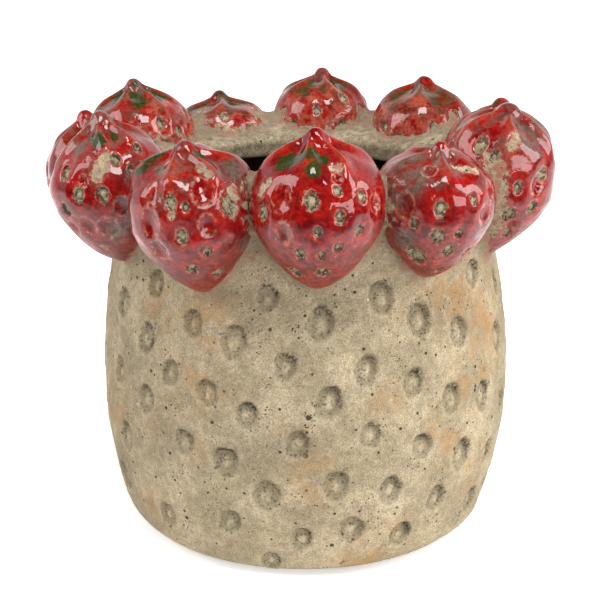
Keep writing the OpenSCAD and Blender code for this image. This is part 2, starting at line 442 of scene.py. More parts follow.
@dataclass(frozen=True)
class PotWall:
    """Profile of the pot, with the same sizes as the CAD source, in millimetres."""

    belly_r: float = 73.0
    belly_z: float = 50.0
    low_bend_r: float = 130.0
    high_bend_r: float = 255.0
    foot_round_r: float = 12.0
    rim_z: float = 136.0
    collar_r: float = 68.0
    wall_t: float = 7.0
    floor_t: float = 9.0
    mouth_r: float = 47.0
    lip_t: float = 6.5
    rim_fall: float = 6.5
    rim_round_r: float = 3.0
    lip_soft: float = 0.8
    step: float = 1.0
    slope: float = 0.94
    pole_r: float = 3.0
    floor_pole_r: float = 4.0
    flat_step: float = 6.5
    floor_step: float = 6.0
    lip_step: float = 3.0
    throat_x: float = 4.0
    throat_z: float = 5.0
    corner_x: float = 7.0
    corner_z: float = 8.0
    lip_edge: float = 0.2
    rim_arc: float = 72.0
    rim_arc_points: int = 5
    arc_points: int = 15

    @property
    def low_x(self) -> float:
        """Distance of the low arc's centre from the pot's axis."""
        return self.belly_r - self.low_bend_r

    @property
    def foot_x(self) -> float:
        """Distance of the foot rounding's centre from the pot's axis."""
        across = (self.low_bend_r - self.foot_round_r) ** 2
        return self.low_x + math.sqrt(across - (self.belly_z - self.foot_round_r) ** 2)

    @property
    def foot_top(self) -> float:
        """Level where the foot's rounding runs into the low arc."""
        share = self.low_bend_r / (self.low_bend_r - self.foot_round_r)
        return self.belly_z - (self.belly_z - self.foot_round_r) * share

    def radius(self, level: np.ndarray) -> np.ndarray:
        """Radius of the outer wall at each level.

        Args:
            level: Heights above the foot.

        Returns:
            The radius at each height.
        """
        above = level - self.belly_z
        high = self.belly_r - self.high_bend_r
        high = high + np.sqrt(np.maximum(self.high_bend_r**2 - above**2, 0))
        low = self.low_x + np.sqrt(np.maximum(self.low_bend_r**2 - above**2, 0))
        under = (level - self.foot_round_r) ** 2
        foot = self.foot_x + np.sqrt(np.maximum(self.foot_round_r**2 - under, 0))
        bent = np.where(above > 0, np.maximum(high, self.collar_r), low)
        return np.where(level > self.foot_top, bent, foot)

    def top(self, radius: np.ndarray) -> np.ndarray:
        """Level of the rim's sloping top at each radius.

        Args:
            radius: Distances from the pot's axis.

        Returns:
            The level at each distance.
        """
        share = (radius - self.mouth_r) / (self.collar_r - self.rim_round_r - self.mouth_r)
        return self.rim_z - self.rim_fall * (1.0 - np.clip(share, 0.0, 1.0))

    def gaps(self, points: np.ndarray) -> tuple[np.ndarray, np.ndarray]:
        """How far places stand out of the wall and over the rim.

        Args:
            points: Places as rows of x, y, z.

        Returns:
            The distance beside the wall and above the rim's top, below 0 inside.
        """
        radius = np.hypot(points[..., 0], points[..., 1])
        level = points[..., 2]
        beside = radius - self.radius(np.minimum(level, self.rim_z))
        return beside, level - self.top(radius)

    def depth(self, points: np.ndarray) -> np.ndarray:
        """Distance from places to the pot taken as solid, below 0 inside.

        Args:
            points: Places as rows of x, y, z.

        Returns:
            The rough distance of each place.
        """
        beside, above = self.gaps(points)
        above = above * self.slope
        outside = np.hypot(np.maximum(beside, 0), np.maximum(above, 0))
        return np.where((beside > 0) | (above > 0), outside, np.maximum(beside, above))

    def profile(self) -> tuple[np.ndarray, np.ndarray]:
        """Half section from the foot's centre over the rim to the floor's centre.

        Returns:
            Points as rows of radius and level, and a tag for each: 0 underside, 1 outside,
            2 rim, 3 lip and inside.
        """
        parts: list[tuple[np.ndarray, int]] = []

        def run(places: list[tuple[float, float]], step: float, tag: int) -> None:
            """Adds straight runs from place to place, without the last point.

            Args:
                places: Radius and level of each corner.
                step: Distance from point to point.
                tag: Which part of the profile this is.
            """
            for start, end in zip(places, places[1:]):
                length = math.hypot(end[0] - start[0], end[1] - start[1])
                share = np.linspace(0, 1, max(2, round(length / step) + 1))[:-1, None]
                parts.append((np.array(start) + share * (np.array(end) - np.array(start)), tag))

        def arc(centre: tuple[float, float], radius: float, turn: np.ndarray, tag: int) -> None:
            """Adds a rounding about a centre, without its last point."""
            ring = np.stack([np.cos(turn), np.sin(turn)], axis=1)[:-1]
            parts.append((np.array(centre) + radius * ring, tag))

        round_r = self.foot_round_r
        run([(self.pole_r, 0.0), (self.foot_x, 0.0)], self.flat_step, 0)
        last = math.asin((self.foot_top - round_r) / round_r)
        arc((self.foot_x, round_r), round_r, np.linspace(-math.pi / 2, last, self.arc_points), 1)
        levels = np.arange(self.foot_top, self.rim_z - self.rim_round_r, self.step)
        parts.append((np.stack([self.radius(levels + 1e-6), levels], axis=1), 1))
        round_r, edge = self.rim_round_r, self.collar_r - self.rim_round_r
        turn = np.radians(np.linspace(0, self.rim_arc, self.rim_arc_points))
        arc((edge, self.rim_z - round_r), round_r, turn, 2)
        lip, soft, mouth = self.rim_z - self.rim_fall, self.lip_soft, self.mouth_r
        lip_corner = (mouth + soft, lip + self.lip_edge)
        run([(edge, self.rim_z), lip_corner, (mouth, lip - soft)], self.step, 2)
        under = lip - self.lip_t
        inner = float(self.radius(np.array([under]))[0]) - self.wall_t
        run([(mouth, lip - soft), (mouth, under + soft), (mouth + soft, under)], self.step, 3)
        throat = (inner, under - self.throat_z)
        run([(mouth + soft, under), (inner - self.throat_x, under), throat], self.lip_step, 3)
        floor, corner_z = self.floor_t, self.floor_t + self.corner_z
        levels = np.linspace(under - self.throat_z, corner_z, self.arc_points)[:-1]
        parts.append((np.stack([self.radius(levels) - self.wall_t, levels], axis=1), 3))
        corner = float(self.radius(np.array([corner_z]))[0]) - self.wall_t
        centre = (self.floor_pole_r, floor)
        run([(corner, corner_z), (corner - self.corner_x, floor), centre], self.floor_step, 3)
        parts.append((np.array([centre]), 3))
        tags = np.concatenate([np.full(len(places), tag) for places, tag in parts])
        return np.concatenate([places for places, _ in parts]), tags


@dataclass(frozen=True)
class FruitShape:
    """Turns one strawberry's form into a mesh that sits in the pot's clay."""

    berry: Strawberry
    wall: PotWall
    others: tuple[Strawberry, ...]
    around: int = 210
    crown_rings: int = 34
    body_rings: int = 112
    sink: float = 2.0
    lumps: NoiseLayers = ((0.38, 11.0, 0), (0.2, 4.5, 1))
    fray: NoiseLayers = ((0.15, 1.9, 3),)
    warp: NoiseLayers = ((1.9, 14.0, 2),)
    ridge: float = 1.1
    ridge_start: Limits = (0.10, 0.28)
    ridge_end: Limits = (0.60, 1.15)
    pit_width: float = 1.75
    pit_height: float = 2.35
    pit_depth: float = 1.15
    quilt: float = 0.55
    skin: float = 0.55
    bowl_edge: Limits = (0.5, 1.08)
    seed_edge: Limits = (0.1, 0.55)
    seed_rise: float = 0.55
    around_pit: Limits = (0.8, 2.5)
    filled_edge: Limits = (0.2, 1.25)
    filled_share: float = 0.8
    around_filled: Limits = (0.8, 2.4)
    worn_depth: float = 0.3
    worn_edge: Limits = (0.6, 1.2)
    smear_gap: float = 1.0
    smear_blend: float = 4.0
    cover_unit: float = 10.0
    inward_from: float = 68.0
    inward_to: float = 60.0
    knob_bend: float = 0.8
    knob_swing: float = 0.9
    crown_end: float = 0.62
    top_gap: float = 0.02
    tip_gap: float = 0.03
    knob_end: float = 0.35
    first_seed: int = 100
    seed_step: int = 13

    def build(self) -> bpy.types.Object:
        """Makes the mesh and the point values that its glaze is painted from.

        Returns:
            The strawberry's object.
        """
        crown = np.linspace(self.top_gap, self.crown_end, self.crown_rings)[:-1]
        body = np.linspace(self.crown_end, math.pi - self.tip_gap, self.body_rings)
        polar = np.concatenate([crown, body])[::-1]
        turn = np.linspace(0, 2 * math.pi, self.around, endpoint=False)
        polar_grid, turn_grid = np.meshgrid(polar, turn, indexing="ij")
        points, fields = self.surface(polar_grid.ravel(), turn_grid.ravel())
        poles, ends = self.surface(np.array([math.pi, 0.0]), np.array([0.0, 0.0]))
        shape = polar_grid.shape
        layers = {
            name: (values.reshape(shape), float(ends[name][0]), float(ends[name][1]))
            for name, values in fields.items()
        }
        rows = points.reshape(*shape, 3)
        return make_grid_mesh(self.berry.node + "_form", rows, poles[0], poles[1], layers)

    def nearness(
        self, marks: MarkPlaces, polar: np.ndarray, turn: np.ndarray
    ) -> list[np.ndarray]:
        """How near each place is to each mark, 1 at the mark's edge.

        Args:
            marks: Radians down, radians round from the outward side, and size.
            polar: Angles from the knob.
            turn: Angles round the axis.

        Returns:
            One array for each mark.
        """
        reach = self.berry.reach(polar)
        found = []
        for down, around, size in marks:
            swing = turn - (math.pi / 2 - around)
            across = np.arctan2(np.sin(swing), np.cos(swing)) * reach * math.sin(down)
            along = (polar - down) * reach
            wide, tall = self.pit_width * size, self.pit_height * size
            found.append(np.sqrt((across / wide) ** 2 + (along / tall) ** 2))
        return found

    def surface(
        self, polar: np.ndarray, turn: np.ndarray
    ) -> tuple[np.ndarray, dict[str, np.ndarray]]:
        """Places on the finished surface and the values painted there.

        Args:
            polar: Angles from the knob, in radians.
            turn: Angles round the axis, in radians.

        Returns:
            The places in millimetres and the named values.
        """
        berry = self.berry
        centre, side, facing, axis = berry.axes()
        level = np.cos(turn)[:, None] * side + np.sin(turn)[:, None] * facing
        ray = np.sin(polar)[:, None] * level + np.cos(polar)[:, None] * axis
        reach = berry.reach(polar)
        spot = ray * reach[:, None]
        seed = self.first_seed + berry.index * self.seed_step
        lumps = layered_noise(spot, self.lumps, seed)
        warp = layered_noise(spot, self.warp, seed)
        crest = np.cos(berry.ridges * turn + warp + berry.index)
        strength = smooth_step(*self.ridge_start, polar) * fade(self.ridge_end, polar)
        ridges = self.ridge * strength * (0.8 * crest + 0.3 * crest**2 - 0.3)
        rough = layered_noise(spot, self.fray, seed)
        names = ("pit", "pool", "worn", "leaf", "film")
        fields = {name: np.full(len(polar), FAR_FROM_MARK) for name in names}
        dent = np.zeros(len(polar))
        for near in self.nearness(berry.marks(Mark.SEED) + berry.pattern(), polar, turn):
            bowl = fade(self.bowl_edge, near + rough)
            grain = self.seed_rise * fade(self.seed_edge, near + rough)
            brim = 0.16 * ring_at(near, 1.3, 0.2)
            wide = self.quilt * fade(self.around_pit, near)
            dent += self.pit_depth * (bowl - grain) - brim + wide
            fields["pit"] = np.minimum(fields["pit"], near)
        for near in self.nearness(berry.marks(Mark.FILLED), polar, turn):
            bowl = self.filled_share * self.pit_depth * fade(self.filled_edge, near)
            wide = self.quilt * fade(self.around_filled, near)
            dent += bowl + wide - 0.15 * ring_at(near, 1.45, 0.2)
            fields["pool"] = np.minimum(fields["pool"], near)
        for kind, name in ((Mark.WORN, "worn"), (Mark.LEAF, "leaf"), (Mark.FILM, "film")):
            for near in self.nearness(berry.marks(kind), polar, turn):
                fields[name] = np.minimum(fields[name], near)
        dent += self.worn_depth * fade(self.worn_edge, fields["worn"] + rough)
        places = centre + ray * (reach + self.skin + lumps + ridges - dent)[:, None]
        bend = smooth_step(self.knob_end, 0.0, polar)[:, None]
        places = places + bend * self.knob_bend * stray(berry.index, 5) * facing
        places = places + bend * self.knob_swing * stray(berry.index, 9) * side
        cover = self.wall.depth(places)
        for other in self.others:
            cover = smooth_min(cover, other.distance(places) + self.smear_gap, self.smear_blend)
        radius = np.hypot(places[:, 0], places[:, 1])
        fields["cover"] = cover / self.cover_unit
        fields["polar"] = polar / math.pi
        fields["crest"] = crest * strength
        fields["inward"] = smooth_step(self.inward_from, self.inward_to, radius)
        fields["green"] = np.full(len(polar), 0.0 if berry.seen else berry.leaf)
        fields["smoke"] = np.full(len(polar), berry.smoke)
        return self.bury(places), fields

    def bury(self, places: np.ndarray) -> np.ndarray:
        """Keeps what lies deep in the pot's clay just under its surface.

        Args:
            places: Places in millimetres.

        Returns:
            The places, none deeper than the sink below the pot's surface.
        """
        wall = self.wall
        radius = np.hypot(places[:, 0], places[:, 1])
        level = places[:, 2]
        beside, above = wall.gaps(places)
        deep = (beside < -self.sink) & (above < -self.sink)
        to_side = deep & (beside > above)
        to_top = deep & ~to_side
        scale = np.ones(len(places))
        scale[to_side] = (wall.radius(level[to_side]) - self.sink) / radius[to_side]
        moved = places * np.stack([scale, scale, np.ones(len(places))], axis=1)
        moved[to_top, 2] = wall.top(radius[to_top]) - self.sink
        return moved


@dataclass(frozen=True)
class Dimples:
    """Seed dimples pressed into the body: those that the photograph shows, then the pattern.

    The pattern is the CAD source's: slanting columns, every second one half a pitch higher.
    Those shown are degrees from the front and millimetres above the foot, read off to one.
    """

    columns: int = 32
    pitch: float = 26.6
    low_z: float = 12.2
    top_z: float = 101.0
    turn: float = 10.3
    slant: float = 2.0
    hand: float = 1.6
    belly_r: float = 73.0
    shown_sector: float = 78.0
    shown: tuple[tuple[int, int], ...] = (
        (-46, 99), (-10, 100), (21, 99), (4, 92), (32, 90), (56, 100), (-31, 89), (-48, 80),
        (-19, 85), (46, 83), (-5, 78), (-38, 71), (16, 76), (29, 70), (68, 74), (-26, 67),
        (-47, 59), (6, 66), (42, 61), (56, 57), (71, 49), (-15, 61), (17, 54), (-2, 52),
        (32, 47), (47, 39), (-33, 48), (-21, 44), (62, 34), (8, 37), (-10, 33), (23, 33),
        (39, 25), (-43, 17), (-21, 21), (-1, 16), (13, 19), (28, 14), (-10, 6), (-62, 88),
        (-62, 64), (-58, 41), (-66, 22), (58, 16), (73, 92),
    )

    def places(self) -> list[tuple[float, float]]:
        """Angle and level of every dimple.

        Returns:
            Pairs of degrees from the front and millimetres above the foot.
        """
        found = [(float(angle), float(level)) for angle, level in self.shown]
        for column in range(self.columns):
            half = (column % 2) / 2
            first_z = self.low_z + half * self.pitch
            for row in range(int((self.top_z - first_z) // self.pitch) + 1):
                level = first_z + row * self.pitch + self.hand * stray(column, row)
                angle = self.turn - self.slant * (row + half) + column * 360 / self.columns
                angle += math.degrees(self.hand / self.belly_r) * stray(row + 50, column)
                angle = wrapped(angle)
                if abs(angle) > self.shown_sector:
                    found.append((angle, level))
        return found


# Kiln blush, then soft patches of painted shade, on the body: degrees from the front,
# level, size and strength of each.
BLUSH = (
    (46, 96, 13, 1.0), (60, 82, 16, 1.0), (52, 66, 11, 1.0), (-27, 90, 10, 1.0),
    (-28, 70, 9, 0.7), (40, 50, 9, 0.9), (-48, 18, 9, 0.9), (18, 5, 10, 1.0),
    (-66, 50, 12, 0.7), (-44, 92, 8, 0.8), (3, 40, 8, 0.9), (22, 66, 7, 0.7), (56, 30, 9, 0.6),
    (110, 70, 16, 0.8), (150, 40, 14, 0.6), (-150, 80, 15, 0.7), (-110, 30, 14, 0.7),
)
SHADE_PATCHES = (
    (-36, 48, 13, 0.9), (-18, 50, 14, 1.0), (-2, 52, 11, 0.8), (-60, 74, 12, 0.4),
    (-62, 30, 14, 0.5), (130, 60, 20, 0.6), (-120, 70, 20, 0.6),
)


@dataclass(frozen=True)
class BodyShape:
    """Turns the pot's profile into a hand-made body with dimples and smeared clay."""

    wall: PotWall
    dimples: Dimples
    berries: tuple[Strawberry, ...]
    columns: int = 480
    fillet: float = 6.6
    inner_fillet: float = 1.8
    web: float = 8.0
    fruit_skin: float = 0.6
    most_lift: float = 9.0
    inner_lift: float = 0.5
    dimple_width: float = 4.2
    dimple_height: float = 5.3
    dimple_depth: float = 1.9
    dimple_top: float = 112.0
    seed_drop: float = 0.12
    lip_stain: float = 0.32
    swell: float = 0.9
    swell_width: float = 32.0
    waves: NoiseLayers = ((0.42, 34.0, 3), (0.30, 13.0, 4), (0.20, 5.0, 5), (0.10, 2.4, 6))
    smear_rough: NoiseLayers = ((1.5, 7.0, 31), (0.8, 3.2, 32))
    dimple_rough: NoiseLayers = ((0.13, 2.6, 21),)
    steady_z: float = 5.0
    inside_wave: float = 0.25
    bare_lift: float = 1.2
    dimple_tilt: float = 0.30
    dimple_vary: float = 0.14
    dimple_reach: Limits = (12.0, 13.0)
    low_squash: float = 0.25
    low_squash_z: Limits = (24.0, 6.0)
    seed_share: float = 0.62
    seed_edge: Limits = (0.15, 0.66)
    inner_from: float = 67.0
    inner_to: float = 60.0
    least_fillet: float = 0.8
    berry_far: float = 40.0
    lift_steps: int = 19
    press_r: float = 71.0
    smear_from: float = 82.0
    berry_reach: float = 46.0
    near_limit: float = 20.0
    no_dimple: float = 2.0

    def build(self) -> bpy.types.Object:
        """Makes the body's mesh and the point values that its clay is painted from.

        Returns:
            The body's object.
        """
        outline, tags = self.wall.profile()
        along = np.gradient(outline, axis=0)
        along /= np.maximum(np.linalg.norm(along, axis=1, keepdims=True), 1e-9)
        normal = np.stack([along[:, 1], -along[:, 0]], axis=1)
        turn = np.linspace(-math.pi, math.pi, self.columns, endpoint=False)
        rows, outward = self.revolve(outline, turn), self.revolve(normal, turn)
        tag = np.repeat(tags, self.columns)
        angle = np.tile(np.degrees(turn), len(outline))
        steady = smooth_step(0.0, self.steady_z, rows[:, 2])
        handled = np.where((tag == 1) | (tag == 2), steady, self.inside_wave * (tag == 3))
        wobble = handled * layered_noise(rows, self.waves)
        # The real wall stands out a little further on the right of its middle.
        right = (tag == 1) * np.clip(np.sin(np.radians(angle)), 0, 1)
        wobble += self.swell * right * ring_at(rows[:, 2], self.wall.belly_z, self.swell_width)
        dent, near_dimple, grit_and_shadow, pale = self.press(rows, angle, tag)
        lift, nearest = self.smear(rows + outward * wobble[:, None], outward, tag)
        bare = np.exp(-((lift / self.bare_lift) ** 2))
        moved = rows + outward * (wobble + lift - dent * bare)[:, None]
        moved[:, 2] = np.maximum(moved[:, 2], 0.0)
        shape = (len(outline), self.columns)
        under_lip = self.wall.rim_z - self.wall.rim_fall - self.wall.lip_t
        inside = np.where(tag == 3, smooth_step(1.0, -0.6, rows[:, 2] - under_lip), 0.0)
        face = np.where(tag == 3, smooth_step(self.wall.lip_t, 5.0, rows[:, 2] - under_lip), 0.0)
        inside = np.maximum(inside, self.lip_stain * face)
        brim = np.where(tag == 2, 1.0, face)
        values = {
            "dimple": (near_dimple, self.no_dimple, self.no_dimple),
            "grit_and_shadow": (grit_and_shadow, 0.0, 0.0),
            "pale": (pale, 0.0, 0.0),
            "inside": (inside, 0.0, 1.0),
            "brim": (brim, 0.0, 0.0),
            "near_berry": (nearest / self.near_limit, 1.0, 1.0),
            "blush": (self.patches(BLUSH, rows, angle), 0.0, 0.0),
            "shade_patches": (self.patches(SHADE_PATCHES, rows, angle), 0.0, 0.0),
        }
        fields = {name: (rings.reshape(shape), *ends) for name, (rings, *ends) in values.items()}
        bottom = np.array([0.0, 0.0, 0.0])
        top = np.array([0.0, 0.0, self.wall.floor_t])
        return make_grid_mesh("pot_body_form", moved.reshape(*shape, 3), bottom, top, fields)

    def revolve(self, half: np.ndarray, turn: np.ndarray) -> np.ndarray:
        """Half section swept round the pot's axis.

        Args:
            half: Rows of radius and level.
            turn: Angles from the front, in radians.

        Returns:
            Places, every angle of the first row first.
        """
        around = np.stack([np.sin(turn), -np.cos(turn)], axis=1)
        flat = half[:, None, :1] * around[None]
        level = np.repeat(half[:, None, 1:], len(turn), axis=1)
        return np.concatenate([flat, level], axis=2).reshape(-1, 3)

    def patches(
        self, spots: tuple[tuple[float, ...], ...], points: np.ndarray, angle: np.ndarray
    ) -> np.ndarray:
        """Share of a kiln blush or of painted shade, from where the photograph shows it.

        Args:
            spots: Degrees from the front, level, size and strength of each soft patch.
            points: Places on the plain pot.
            angle: Degrees of each place from the front.

        Returns:
            The share at each place, 0 to 1.
        """
        share = np.zeros(len(points))
        for place, level, size, strength in spots:
            across = np.radians(wrapped(angle - place)) * self.dimples.belly_r
            away = np.hypot(across, points[:, 2] - level) / size
            share = np.maximum(share, strength * np.exp(-(away**2)))
        return share

    def press(
        self, points: np.ndarray, angle: np.ndarray, tag: np.ndarray
    ) -> tuple[np.ndarray, np.ndarray, np.ndarray, np.ndarray]:
        """Depth and colouring of the seed dimples.

        Args:
            points: Places on the plain pot.
            angle: Degrees of each place from the front.
            tag: Which part of the profile each place is on.

        Returns:
            Depth in mm, nearness (1 at a dimple's edge), painted shadow with grit, painted
            highlight.
        """
        whole = [np.full(len(points), value) for value in (0.0, self.no_dimple, 0.0, 0.0)]
        outside = np.flatnonzero((tag == 1) & (points[:, 2] < self.dimple_top))
        spots = points[outside]
        rough = layered_noise(spots, self.dimple_rough)
        dent, nearest, grit_and_shadow, pale = (values[outside] for values in whole)
        for number, (place, level) in enumerate(self.dimples.places()):
            tilt = self.dimple_tilt * stray(number, 7)
            size = 1.0 + self.dimple_vary * stray(number, 2)
            across = np.radians(wrapped(angle[outside] - place)) * self.press_r
            squash = 1.0 + self.low_squash * smooth_step(*self.low_squash_z, spots[:, 2])
            along = (spots[:, 2] - level) * squash
            wide, tall = self.dimple_reach
            box = np.flatnonzero((np.abs(across) < wide) & (np.abs(along) < tall))
            u = across[box] * math.cos(tilt) + along[box] * math.sin(tilt)
            v = along[box] * math.cos(tilt) - across[box] * math.sin(tilt)
            u, v = u / (self.dimple_width * size), v / (self.dimple_height * size)
            near = np.hypot(u, v) + rough[box]
            upper = np.clip(0.85 * v + 0.35 * u, -1, 1)
            bowl = 1 - smooth_step(0.58 + 0.22 * upper, 1.05, near)
            raised = np.hypot(u, v + self.seed_drop) + rough[box]
            seed = self.seed_share * fade(self.seed_edge, raised)
            depth = self.dimple_depth * (0.8 + 0.25 * stray(number, 4)) * (1 + 0.25 * upper)
            lower = smooth_step(0.2, -0.8, upper)
            dent[box] += depth * (bowl - seed) - 0.22 * ring_at(near, 1.14, 0.16) * (0.3 + lower)
            nearest[box] = np.minimum(nearest[box], near)
            # Painted shadow, speckled with grit, along the upper edge of the dimple.
            dark = ring_at(near, 0.86, 0.15) * smooth_step(0.0, 0.85, upper)
            strength = 0.85 + 0.35 * stray(number, 6)
            grit_and_shadow[box] = np.maximum(grit_and_shadow[box], dark * strength)
            # Painted highlight on the dimple's lower brim and on its raised seed.
            brim = ring_at(near, 1.12, 0.14) * lower + fade((0.2, 0.5), raised)
            pale[box] = np.maximum(pale[box], brim)
        for values, part in zip(whole, (dent, nearest, grit_and_shadow, pale)):
            values[outside] = part
        return tuple(whole)

    def smear(
        self, points: np.ndarray, outward: np.ndarray, tag: np.ndarray
    ) -> tuple[np.ndarray, np.ndarray]:
        """How far wet clay was drawn up from the pot onto the strawberries.

        Args:
            points: Places on the plain pot.
            outward: Direction out of the clay at each place.
            tag: Which part of the profile each place is on.

        Returns:
            Lift in millimetres, and the distance to the nearest strawberry.
        """
        lift = np.zeros(len(points))
        nearest = np.full(len(points), self.near_limit)
        chosen = np.flatnonzero(((tag == 1) & (points[:, 2] > self.smear_from)) | (tag == 2))
        spots, ways = points[chosen], outward[chosen]
        heights = np.linspace(0.0, self.most_lift, self.lift_steps)
        rough = layered_noise(spots, self.smear_rough)
        radius = np.hypot(spots[:, 0], spots[:, 1])
        inner = smooth_step(self.inner_from, self.inner_to, radius)
        blend = self.fillet + rough + inner * (self.inner_fillet - self.fillet - 0.6 * rough)
        blend = np.maximum(blend, self.least_fillet)
        table = []
        for height in heights:
            trial = spots + ways * height
            fruit = np.full(len(trial), self.berry_far)
            for berry in self.berries:
                away = np.linalg.norm(trial - berry.axes()[0], axis=1)
                close = np.flatnonzero(away < self.berry_reach)
                fruit[close] = smooth_min(fruit[close], berry.distance(trial[close]), self.web)
            if height == 0.0:
                nearest[chosen] = np.clip(fruit, -self.near_limit, self.near_limit)
            skin = fruit + self.fruit_skin * (1 - inner)
            table.append(smooth_min(height, skin, blend))
        table = np.stack(table, axis=1)
        outside = table > 0
        first = np.clip(np.argmax(outside, axis=1), 1, len(heights) - 1)
        row = np.arange(len(spots))
        before, after = table[row, first - 1], table[row, first]
        share = np.clip(-before / np.maximum(after - before, 1e-6), 0, 1)
        found = heights[first - 1] + share * (heights[1] - heights[0])
        found = np.where(outside.any(axis=1), found, self.most_lift)
        most = self.most_lift + inner * (self.inner_lift - self.most_lift)
        lift[chosen] = np.minimum(found, most)
        return lift, nearest


def linear(code: str) -> tuple[float, float, float, float]:
    """Linear colour of an sRGB hex code.

    Args:
        code: Colour such as "#b5a587".

    Returns:
        Red, green, blue and an alpha of 1.
    """
    channels = [int(code[i : i + 2], 16) / 255 for i in (1, 3, 5)]
    red, green, blue = (
        c / 12.92 if c <= 0.04045 else ((c + 0.055) / 1.055) ** 2.4 for c in channels
    )
    return red, green, blue, 1.0


def per_mm(size: float) -> float:
    """Texture scale, on places in metres, for a feature of a size in millimetres."""
    return 1.0 / (size * METRES_PER_MM)


def add(
    tree: bpy.types.NodeTree, kind: str, sockets: dict | None = None, **settings: object
) -> bpy.types.Node:
    """Adds one node with its settings, values and links.

    Args:
        tree: Node tree that takes the node.
        kind: Blender's name for the node type.
        sockets: Value or output socket for each input, by name or number.
        **settings: Properties of the node itself.

    Returns:
        The new node.
    """
    node = tree.nodes.new(kind)
    for name, value in settings.items():
        setattr(node, name, value)
    for key, value in (sockets or {}).items():
        socket = node.inputs[key]
        if isinstance(value, bpy.types.NodeSocket):
            tree.links.new(value, socket)
        else:
            socket.default_value = value
    return node


def ramp_node(
    tree: bpy.types.NodeTree,
    value: Value,
    low: float,
    high: float,
    out_low: Value = 0.0,
    out_high: Value = 1.0,
) -> Socket:
    """Adds an eased ramp to a node tree.

    Args:
        tree: Node tree that takes the node.
        value: Number to map.
        low: Value where the ramp starts.
        high: Value where the ramp ends.
        out_low: What it gives at the start.
        out_high: What it gives at the end.

    Returns:
        The mapped number.
    """
    sockets = {"Value": value, 1: low, 2: high, 3: out_low, 4: out_high}
    kind = "ShaderNodeMapRange"
    return add(tree, kind, sockets, interpolation_type="SMOOTHSTEP").outputs[0]


